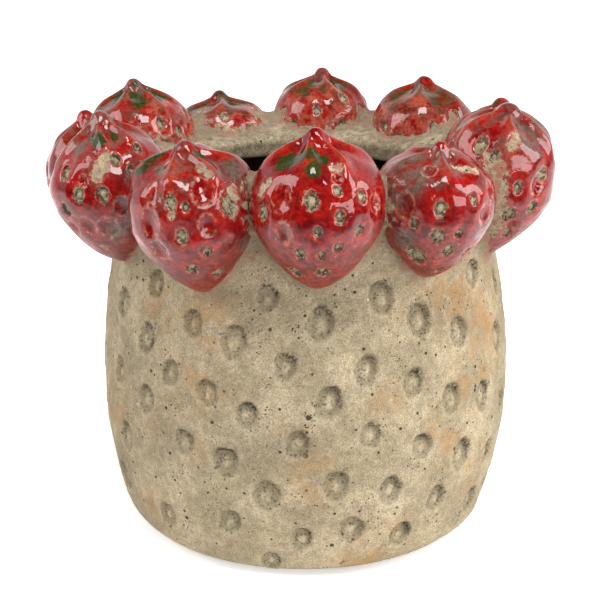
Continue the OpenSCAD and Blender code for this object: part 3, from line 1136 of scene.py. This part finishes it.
class Painter:
    """Builds one material: noises, ramps and specks, and the layers of colour so far."""

    def __init__(self, name: str) -> None:
        """Starts an empty material.

        Args:
            name: Name of the material.
        """
        self.material = bpy.data.materials.new(name)
        self.material.use_nodes = True
        self.tree = self.material.node_tree
        self.tree.nodes.clear()
        self.place = add(self.tree, "ShaderNodeTexCoord").outputs["Object"]
        self.colour: Tint = linear("#ffffff")

    def noise(self, size: float, detail: float = 2.0, offset: float = 0.0) -> Socket:
        """Soft noise from 0 to 1.

        Args:
            size: Size of its lumps in millimetres.
            detail: Number of finer layers in it.
            offset: Shift in metres that makes another pattern of it.

        Returns:
            The noise.
        """
        place = self.place
        if offset:
            sockets = {0: place, 1: (offset, -offset, offset * 0.7)}
            place = add(self.tree, "ShaderNodeVectorMath", sockets).outputs[0]
        sockets = {"Vector": place, "Scale": per_mm(size), "Detail": detail, "Roughness": 0.55}
        return add(self.tree, "ShaderNodeTexNoise", sockets).outputs["Fac"]

    def specks(self, cell: float, radius: float, share: float) -> Socket:
        """Round specks, strewn by lot.

        Args:
            cell: Distance from speck to speck in millimetres.
            radius: Size of a middling speck in millimetres.
            share: Share of the places that hold one.

        Returns:
            1 on a speck and 0 off it.
        """
        sockets = {"Vector": self.place, "Scale": per_mm(cell), "Randomness": 1.0}
        cells = add(self.tree, "ShaderNodeTexVoronoi", sockets)
        lot = add(self.tree, "ShaderNodeSeparateColor", {0: cells.outputs["Color"]}).outputs
        chosen = self.math("LESS_THAN", lot[0], share)
        size = self.math("MULTIPLY_ADD", lot[1], radius / cell * 0.8, radius / cell * 0.45)
        edge = self.math("SUBTRACT", size, cells.outputs["Distance"])
        return self.times(chosen, self.clamp(self.times(edge, cell / 0.12)))

    def math(self, operation: str, *values: Value) -> Socket:
        """Result of a number operation on sockets or plain numbers."""
        sockets = dict(enumerate(values))
        return add(self.tree, "ShaderNodeMath", sockets, operation=operation).outputs[0]

    def times(self, *values: Value) -> Value:
        """Product of sockets or numbers."""
        return reduce(lambda first, second: self.math("MULTIPLY", first, second), values)

    def most(self, *values: Value) -> Value:
        """Largest of sockets or numbers."""
        return reduce(lambda first, second: self.math("MAXIMUM", first, second), values)

    def clamp(self, value: Value) -> Socket:
        """Value kept from 0 to 1."""
        return add(self.tree, "ShaderNodeClamp", {"Value": value}).outputs[0]

    def ramp(self, value: Value, low: float, high: float, *out: float) -> Socket:
        """Eased ramp of a value between two limits, from 0 to 1 or what is named."""
        return ramp_node(self.tree, value, low, high, *out)

    def patches(
        self, size: float, detail: float, offset: float, low: float, high: float, *out: float
    ) -> Socket:
        """Patches of a size in millimetres: a noise, eased between two limits."""
        return self.ramp(self.noise(size, detail, offset), low, high, *out)

    def field(self, name: str) -> Socket:
        """Point value that the mesh carries under a name."""
        return add(self.tree, "ShaderNodeAttribute", attribute_name=name).outputs["Fac"]

    def frayed(self, name: str, size: float, most: float, offset: float) -> Socket:
        """Point value of the mesh, frayed by noise from minus to plus an amount."""
        wander = self.patches(size, 4, offset, 0.25, 0.75, -most, most)
        return self.math("ADD", self.field(name), wander)

    def mix(self, share: Value, first: Tint, second: Tint, mode: str = "MIX") -> Socket:
        """Mix of two colours.

        Args:
            share: How much of the second colour shows.
            first: Colour as a hex code, a socket or numbers.
            second: The other colour.
            mode: Blender's name for the way of mixing.

        Returns:
            The mixed colour.
        """
        tints = [linear(tint) if isinstance(tint, str) else tint for tint in (first, second)]
        sockets = {0: share, 6: tints[0], 7: tints[1]}
        settings = {"data_type": "RGBA", "blend_type": mode}
        return add(self.tree, "ShaderNodeMix", sockets, **settings).outputs[2]

    def lay(self, tint: Tint, *shares: Value) -> None:
        """Lays a tint over the colour so far, as thick as the product of the shares."""
        self.colour = self.mix(self.times(*shares), self.colour, tint)

    def tone(self, value: Value) -> None:
        """Makes the colour so far lighter or darker by a number."""
        grey = add(self.tree, "ShaderNodeCombineColor", dict.fromkeys(range(3), value))
        self.colour = self.mix(1.0, self.colour, grey.outputs[0], "MULTIPLY")

    def keep_where(self, share: Value, before: Tint) -> None:
        """Keeps what was laid over an earlier colour only where a share says."""
        self.colour = self.mix(share, before, self.colour)

    def bump(self, height: Value, distance: float, below: Socket | None = None) -> Socket:
        """Surface normal with a relief laid on.

        Args:
            height: Height of the relief.
            distance: Depth in millimetres for a height of 1.
            below: Normal that the relief is laid on, if not the plain one.

        Returns:
            The normal.
        """
        sockets = {"Height": height, "Distance": distance * METRES_PER_MM, "Strength": 1.0}
        if below is not None:
            sockets["Normal"] = below
        return add(self.tree, "ShaderNodeBump", sockets).outputs[0]

    def finish(self, glow: Socket | None = None, **values: Value) -> bpy.types.Material:
        """Ends the tree with the surface shader, in the colour so far.

        Args:
            glow: Strength of a white glow that is added, if there is one.
            **values: The shader's inputs by name, with _ for a space.

        Returns:
            The material.
        """
        named = {key.replace("_", " "): value for key, value in values.items()}
        named["Base Color"] = self.colour
        surface = add(self.tree, "ShaderNodeBsdfPrincipled", named).outputs[0]
        if glow is not None:
            light = add(self.tree, "ShaderNodeEmission", {"Strength": glow}).outputs[0]
            surface = add(self.tree, "ShaderNodeAddShader", {0: surface, 1: light}).outputs[0]
        add(self.tree, "ShaderNodeOutputMaterial", {"Surface": surface})
        return self.material


@dataclass(frozen=True)
class ClayFinish:
    """Sandy, unglazed stoneware with grog, burnt-out pits and a warm kiln blush."""

    body: str = "#a59678"
    pale: str = "#bfae8f"
    blush: str = "#b08149"
    shade: str = "#827a60"
    grit_and_shadow: str = "#29221a"
    grain: str = "#5f543f"
    brim: str = "#cdbf9f"
    white: str = "#efe7d5"
    seam: str = "#827862"
    tinge: str = "#ad6455"
    inside: str = "#4a3826"
    roughness: float = 0.93
    relief: float = 0.30

    def coat(self, paint: Painter) -> Socket:
        """Paints plain clay, for the body and for the fruit's bare places.

        Args:
            paint: Material being made, whose colour so far it replaces.

        Returns:
            The height of the clay's fine relief.
        """
        paint.colour = self.body
        paint.lay(self.pale, paint.patches(17, 6, 0.0, 0.40, 0.66))
        paint.tone(paint.patches(2.6, 7, 0.17, 0.32, 0.68, 0.84, 1.10))
        fine = paint.noise(0.5, 3, 0.05)
        paint.tone(paint.ramp(fine, 0.32, 0.68, 0.72, 1.24))
        grains = paint.specks(1.15, 0.26, 0.55)
        paint.lay(self.grain, grains, 0.45)
        close = paint.times(paint.specks(1.05, 0.30, 0.60), paint.patches(8, 4, 0.77, 0.50, 0.62))
        pits = paint.most(paint.specks(3.0, 0.50, 0.45), close, paint.specks(8.0, 0.85, 0.40))
        paint.lay(self.grit_and_shadow, pits, 0.9)
        paint.lay(self.white, paint.specks(6.5, 0.40, 0.30), 0.8)
        height = paint.math("SUBTRACT", fine, paint.times(pits, 2.5))
        return paint.math("SUBTRACT", height, paint.times(grains, 0.5))

    def make(self) -> bpy.types.Material:
        """Material of the pot body, thrown and pressed, then fired without glaze.

        Returns:
            The material.
        """
        # Built up as colour patches, grain and grit, ochre blush, painted shade and painted
        # highlight on the dimples, painted shade by the strawberries and in soft patches, darker
        # inside.
        paint = Painter("fired_sandy_stoneware")
        height = self.coat(paint)
        # Painted shade in soft patches, mostly on the left of the body.
        paint.tone(paint.ramp(paint.field("shade_patches"), 0.0, 1.0, 1.0, 0.80))
        blush = paint.times(paint.field("blush"), paint.patches(8, 9, 0.31, 0.40, 0.56))
        blush = paint.most(blush, paint.patches(24, 8, 0.63, 0.60, 0.70, 0.0, 0.30))
        paint.lay(paint.mix(0.3, self.blush, paint.colour), blush, 0.85)
        dimple = paint.frayed("dimple", 1.6, 0.14, 0.2)
        # Painted shade in the dimples' hollows, and darker still, speckled like grit, along their
        # inner edges.
        hollow = paint.times(paint.ramp(dimple, 1.1, 0.80), paint.ramp(dimple, 0.15, 0.55))
        paint.lay(self.shade, hollow, 0.50)
        crevice = paint.patches(1.0, 4, 0.9, 0.53, 0.64)
        paint.lay(self.grit_and_shadow, paint.ramp(dimple, 1.05, 0.9), crevice, 0.55)
        # Painted highlight on the dimples' lower brims and seeds.
        paint.lay(self.brim, paint.field("pale"), paint.patches(1.4, 3, 0.52, 0.35, 0.6), 0.55)
        self.crumble(paint)
        # Painted shadow, speckled with grit, along the dimples' upper edges.
        dirt = paint.times(paint.field("grit_and_shadow"), paint.patches(1.2, 4, 0.4, 0.36, 0.50), 1.15)
        paint.lay(self.grit_and_shadow, paint.clamp(dirt))
        # Painted shade, partly iron staining, where the clay meets the strawberries.
        beside = paint.field("near_berry")
        paint.lay(self.seam, paint.ramp(beside, 0.02, 0.26, 0.55, 0.0))
        smear = paint.patches(3.4, 5, 0.6, 0.46, 0.62)
        paint.lay(self.tinge, paint.ramp(beside, 0.26, 0.0), smear, 0.65)
        paint.lay(self.inside, paint.field("inside"))
        return paint.finish(Roughness=self.roughness, Normal=paint.bump(height, self.relief))

    def crumble(self, paint: Painter) -> None:
        """Makes the rim's clay crumbly, dark and cream by turns.

        Args:
            paint: Material being made.
        """
        before = paint.colour
        paint.lay(self.white, paint.specks(1.7, 0.36, 0.50), 0.5)
        crumbs = paint.most(paint.specks(1.0, 0.34, 0.55), paint.specks(2.3, 0.62, 0.40))
        paint.lay(self.grain, crumbs, 0.60)
        paint.tone(paint.patches(2.4, 5, 0.7, 0.36, 0.62, 0.66, 1.04))
        paint.keep_where(paint.field("brim"), before)


@dataclass(frozen=True)
class GlazeFinish:
    """Transparent red glaze over pale clay: dark where it pools, orange where it thins."""

    clay: ClayFinish
    deep: str = "#7b070b"
    bright: str = "#a01611"
    thin: str = "#b43a22"
    frost: str = "#8c3829"
    green: str = "#26401a"
    smoke: str = "#625c50"
    stain: str = "#a4574b"
    scant: str = "#bd6850"
    pale_and_highlight: str = "#d8a58c"
    open_edge: float = 0.98
    seam_edge: float = 0.20
    glossy: float = 0.05
    matt: float = 0.42
    ripple: float = 0.12
    bare_relief: float = 0.20
    ior: float = 1.52

    def make(self) -> bpy.types.Material:
        """Material of the strawberries, glazed by brush and fired.

        Returns:
            The material.
        """
        # Glaze layers from the pooled red up to films, then bare clay in pits and at seams.
        paint = Painter("brushed_red_glaze")
        clay_height = self.clay.coat(paint)
        clay = paint.colour
        dull = self.red(paint)
        paint.lay(self.scant, paint.field("inward"), paint.patches(3.0, 5, 0.27, 0.38, 0.62), 0.6)
        smoke = self.crown(paint)
        pit = paint.frayed("pit", 1.3, 0.20, 0.9)
        self.pools(paint, pit)
        self.freckles(paint)
        bare, stain = self.bare(paint, pit)
        paint.lay(self.stain, stain, 0.75)
        rubbed = paint.patches(2.2, 6, 0.58, 0.47, 0.60, 0.0, 0.7)
        clay = paint.mix(paint.times(rubbed, paint.ramp(pit, 1.0, 1.3)), clay, self.stain)
        # Painted shade, speckled like grit, in the hollow of each open pit round its seed.
        ring = paint.times(paint.ramp(pit, 0.30, 0.62), paint.ramp(pit, 1.04, 0.84))
        ring = paint.times(ring, paint.patches(1.1, 4, 0.6, 0.40, 0.53), 0.85)
        paint.lay(paint.mix(ring, clay, self.clay.grit_and_shadow), bare)
        dull = paint.most(dull, paint.times(smoke, 0.4), paint.times(stain, 0.45))
        gloss = paint.ramp(dull, 0.0, 1.0, self.glossy, self.matt)
        drier = paint.math("SUBTRACT", self.clay.roughness, gloss)
        rough = paint.math("MULTIPLY_ADD", bare, drier, gloss)
        wave = paint.bump(paint.noise(2.6, 2, 0.3), self.ripple)
        wave = paint.bump(paint.times(paint.noise(0.9, 3, 0.34), dull), self.ripple, wave)
        normal = paint.bump(paint.times(clay_height, bare), self.bare_relief, wave)
        return paint.finish(Roughness=rough, Normal=normal, IOR=self.ior)

    def red(self, paint: Painter) -> Socket:
        """Paints the red of the glaze.

        Args:
            paint: Material being made, whose colour so far it replaces.

        Returns:
            How matt the glaze fired, 0 to 1.
        """
        paint.colour = self.deep
        paint.lay(self.bright, paint.patches(7.0, 4, 0.11, 0.36, 0.64))
        ridge = paint.times(paint.ramp(paint.field("crest"), 0.30, 0.95), 0.6)
        nearest = paint.math("MINIMUM", paint.field("pit"), paint.field("pool"))
        broken = paint.patches(2.6, 3, 0.71, 0.46, 0.62)
        near_pit = paint.times(paint.ramp(nearest, 2.0, 1.1), broken, 0.55)
        streak = paint.patches(3.2, 5, 0.23, 0.54, 0.70)
        thin = paint.math("MULTIPLY_ADD", streak, 0.35, paint.most(ridge, near_pit))
        paint.lay(self.thin, paint.clamp(thin))
        low = paint.frayed("polar", 6.0, 0.10, 0.5)
        frost = paint.patches(2.2, 5, 0.86, 0.2, 0.62, 0.15, 0.6)
        paint.lay(self.frost, paint.ramp(low, 0.50, 0.74), frost)
        return paint.ramp(low, 0.46, 0.64, 0.0, 0.85)

    def crown(self, paint: Painter) -> Socket:
        """Paints green dabs and grey kiln smoke round the knob.

        Args:
            paint: Material being made.

        Returns:
            The share of smoke.
        """
        crown = paint.frayed("polar", 5.0, 0.10, 0.66)
        patch = paint.patches(4.5, 6, 0.8, 0.40, 0.60)
        smoke = paint.times(paint.ramp(crown, 0.44, 0.16), patch, paint.field("smoke"))
        film = paint.ramp(paint.field("film"), 1.25, 0.4)
        smoke = paint.most(smoke, paint.times(film, paint.ramp(patch, 0.0, 0.5, 0.45, 1.0)))
        paint.lay(self.smoke, smoke, 0.8)
        ring = paint.times(paint.ramp(crown, 0.30, 0.17), paint.ramp(crown, 0.03, 0.09))
        valley = paint.ramp(paint.field("crest"), 0.75, -0.2, 0.35, 1.0)
        brushed = paint.times(ring, valley, paint.field("green"))
        dab = paint.times(paint.ramp(paint.frayed("leaf", 1.8, 0.3, 0.15), 1.05, 0.65), 0.92)
        paint.lay(self.green, paint.most(brushed, dab))
        return smoke

    def pools(self, paint: Painter, pit: Socket) -> None:
        """Paints painted highlight as pale lips round the pits, and glaze pooled in the filled
        ones.

        Args:
            paint: Material being made.
            pit: Nearness to an open pit.
        """
        pool = paint.frayed("pool", 1.6, 0.16, 0.44)
        lip = paint.times(paint.ramp(pool, 0.95, 1.15), paint.ramp(pool, 1.5, 1.2))
        edge = paint.times(paint.ramp(pit, 1.0, 1.06), paint.ramp(pit, 1.32, 1.12))
        # Painted highlight: a pale lip round the brim of every pit.
        paint.lay(self.pale_and_highlight, paint.most(lip, edge), paint.patches(1.8, 3, 0.7, 0.42, 0.56), 0.38)
        sunk = paint.patches(1.4, 3, 0.2, 0.4, 0.6)
        paint.lay(self.deep, paint.ramp(pool, 1.0, 0.7), sunk, 0.75)

    def freckles(self, paint: Painter) -> None:
        """Paints mottling and burst bubbles, and what crowds on the lower half.

        Args:
            paint: Material being made.
        """
        paint.tone(paint.patches(1.1, 4, 0.48, 0.32, 0.68, 0.72, 1.22))
        burst = paint.most(paint.specks(2.6, 0.34, 0.30), paint.specks(6.0, 0.60, 0.25))
        paint.lay(self.clay.grit_and_shadow, burst, 0.75)
        low = paint.ramp(paint.field("polar"), 0.36, 0.56, 0.15, 1.0)
        before = paint.colour
        paint.tone(paint.patches(2.0, 5, 0.66, 0.36, 0.62, 0.50, 1.28))
        paint.keep_where(low, before)
        paint.lay(self.pale_and_highlight, paint.specks(3.1, 0.40, 0.35), low, 0.45)
        paint.lay(self.clay.grit_and_shadow, paint.specks(2.1, 0.48, 0.40), low, 0.80)

    def bare(self, paint: Painter, pit: Socket) -> tuple[Socket, Socket]:
        """Where no glaze is left: at the clay seam, in open pits and on worn patches.

        Args:
            paint: Material being made.
            pit: Nearness to an open pit.

        Returns:
            The share of bare clay, and of the stained edge beside it.
        """
        seam = paint.math("MULTIPLY_ADD", paint.field("inward"), -0.14, self.seam_edge)
        past = paint.math("SUBTRACT", paint.frayed("cover", 2.4, 0.30, 0.37), seam)
        worn = paint.frayed("worn", 1.7, 0.34, 0.95)
        open_pit = paint.ramp(pit, self.open_edge, self.open_edge - 0.10)
        bare = paint.most(paint.ramp(past, 0.06, 0.0), open_pit, paint.ramp(worn, 0.98, 0.84))
        stain = paint.most(paint.ramp(past, 0.26, 0.02), paint.ramp(worn, 1.5, 1.0, 0.0, 0.8))
        return bare, stain


class Lamp(NamedTuple):
    """Rectangular lamp: where it stands from the pot, in metres, and its power in watts."""

    name: str
    way: tuple[float, float, float]
    away: float
    size: tuple[float, float]
    power: float


@dataclass(frozen=True)
class Studio:
    """Camera at the photograph's viewing angle, soft lamps and a white room behind the pot."""

    distance: float = 530.0
    elevation: float = 16.8
    look_z: float = 79.0
    focal: float = 87.1
    sensor: float = 36.0
    aside: float = -4.4 / 600
    ambient: float = 0.34
    floor_edge: float = 5.0
    floor_gap: float = 0.0004
    lamp_aim: float = 0.09
    paper: str = "#f6f6f5"
    dark_front: str = "#444444"
    dark_edge: Limits = (-0.40, -0.15)
    glow_edge: Limits = (-0.22, -0.08)
    shadow_edge: Limits = (0.09, 0.18)
    shadow_glow: float = 0.5
    above_edge: Limits = (0.80, 0.50)
    behind_edge: Limits = (-0.20, 0.35)
    behind_glow: float = 0.92
    front_glow: float = 0.06
    lamps: tuple[Lamp, ...] = (
        Lamp("softbox_left", (-0.830, -0.200, 0.520), 1.0, (0.50, 0.60), 4.6),
        Lamp("softbox_right", (0.872, -0.200, 0.479), 1.0, (0.42, 0.50), 4.5),
        Lamp("softbox_front", direction(12, 62), 1.2, (0.50, 0.40), 8.0),
        Lamp("low_fill", direction(40, 7), 1.5, (1.30, 0.42), 10.0),
    )

    def camera(self) -> None:
        """Makes the scene's camera."""
        data = bpy.data.cameras.new("photograph_camera")
        data.lens, data.sensor_width, data.sensor_fit = self.focal, self.sensor, "HORIZONTAL"
        data.shift_x = self.aside
        data.clip_start, data.clip_end = 0.01, 50.0
        camera = bpy.data.objects.new("photograph_camera", data)
        way = Vector(direction(0.0, self.elevation))
        target = Vector((0, 0, self.look_z * METRES_PER_MM))
        camera.location = target + way * self.distance * METRES_PER_MM
        camera.rotation_euler = (-way).to_track_quat("-Z", "Y").to_euler()
        bpy.context.scene.collection.objects.link(camera)
        bpy.context.scene.camera = camera

    def softbox(self, lamp: Lamp) -> None:
        """Makes one lamp that faces the pot.

        Args:
            lamp: The lamp's place, size and power.
        """
        data = bpy.data.lights.new(lamp.name, "AREA")
        data.shape, data.energy = "RECTANGLE", lamp.power
        data.size, data.size_y = lamp.size
        way = Vector(lamp.way).normalized()
        light = bpy.data.objects.new(lamp.name, data)
        light.location = way * lamp.away + Vector((0, 0, self.lamp_aim))
        light.rotation_euler = (-way).to_track_quat("-Z", "Y").to_euler()
        bpy.context.scene.collection.objects.link(light)

    def floor(self) -> None:
        """Makes the white floor, which keeps the pot's shadow and fades to plain white."""
        edge = self.floor_edge
        mesh = bpy.data.meshes.new("studio_floor")
        corners = [(-edge, -edge, 0), (edge, -edge, 0), (edge, edge, 0), (-edge, edge, 0)]
        mesh.from_pydata(corners, [], [(0, 1, 2, 3)])
        floor = bpy.data.objects.new("studio_floor", mesh)
        floor.location.z = -self.floor_gap
        bpy.context.scene.collection.objects.link(floor)
        # Matt white paper: the camera sees it white all over, while reflections and bounced
        # light find its front part dark, as the room in front of a light table is.
        paint = Painter("white_paper")
        away = add(paint.tree, "ShaderNodeVectorMath", {0: paint.place}, operation="LENGTH")
        seen = add(paint.tree, "ShaderNodeLightPath").outputs
        to_camera = seen["Is Camera Ray"]
        rays = paint.most(to_camera, seen["Is Glossy Ray"], seen["Is Transmission Ray"])
        depth = add(paint.tree, "ShaderNodeSeparateXYZ", {0: paint.place}).outputs["Y"]
        behind = paint.most(to_camera, paint.ramp(depth, *self.glow_edge))
        bright = paint.ramp(away.outputs["Value"], *self.shadow_edge, self.shadow_glow, 1.0)
        glow = paint.times(rays, bright, behind)
        paint.colour = self.dark_front
        paint.lay(self.paper, paint.ramp(depth, *self.dark_edge))
        tooth = paint.bump(paint.noise(0.6), 0.01)
        mesh.materials.append(paint.finish(glow, Roughness=0.9, Normal=tooth))

    def room(self) -> None:
        """Makes the surrounding light: plain for the clay, white behind in reflections."""
        world = bpy.data.worlds.new("white_room")
        world.use_nodes = True
        tree = world.node_tree
        tree.nodes.clear()
        seen = add(tree, "ShaderNodeLightPath").outputs
        way = add(tree, "ShaderNodeTexCoord").outputs["Generated"]
        parts = add(tree, "ShaderNodeSeparateXYZ", {0: way}).outputs
        low = ramp_node(tree, parts["Z"], *self.above_edge, 0.0, self.behind_glow)
        behind = ramp_node(tree, parts["Y"], *self.behind_edge, self.front_glow, low)
        sockets = {0: seen["Is Glossy Ray"], 2: self.ambient, 3: behind}
        light = add(tree, "ShaderNodeMix", sockets, data_type="FLOAT").outputs[0]
        sockets = {0: seen["Is Camera Ray"], 1: seen["Is Transmission Ray"]}
        clear = add(tree, "ShaderNodeMath", sockets, operation="MAXIMUM").outputs[0]
        sockets = {0: clear, 2: light, 3: 1.0}
        strength = add(tree, "ShaderNodeMix", sockets, data_type="FLOAT").outputs[0]
        sockets = {"Color": linear("#ffffff"), "Strength": strength}
        glow = add(tree, "ShaderNodeBackground", sockets).outputs[0]
        add(tree, "ShaderNodeOutputWorld", {"Surface": glow})
        bpy.context.scene.world = world

    def build(self) -> None:
        """Sets up the camera, the lamps and the room."""
        self.camera()
        for lamp in self.lamps:
            self.softbox(lamp)
        self.floor()
        self.room()
        bpy.context.scene.view_settings.view_transform = "Standard"


def place_piece(
    piece: bpy.types.Object, material: bpy.types.Material, node: str
) -> None:
    """Puts a hand-made form in the place of a CAD node.

    Args:
        piece: The new form.
        material: Its finish.
        node: Name of the CAD node that it replaces.
    """
    piece.data.materials.append(material)
    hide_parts(node)
    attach(piece, "root")
    LOG.info("%s: %d points", piece.name, len(piece.data.vertices))


def main() -> None:
    """Builds the studio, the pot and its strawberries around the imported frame."""
    logging.basicConfig(level=logging.INFO, format="%(name)s: %(message)s")
    Studio().build()
    wall = PotWall()
    clay = ClayFinish()
    clay_material, glaze_material = clay.make(), GlazeFinish(clay).make()
    body = BodyShape(wall, Dimples(), STRAWBERRIES).build()
    place_piece(body, clay_material, "pot_body")
    count = len(STRAWBERRIES)
    for berry in STRAWBERRIES:
        beside = (STRAWBERRIES[berry.index - 1], STRAWBERRIES[(berry.index + 1) % count])
        fruit = FruitShape(berry, wall, beside).build()
        place_piece(fruit, glaze_material, berry.node)


if __name__ == "__main__":
    main()
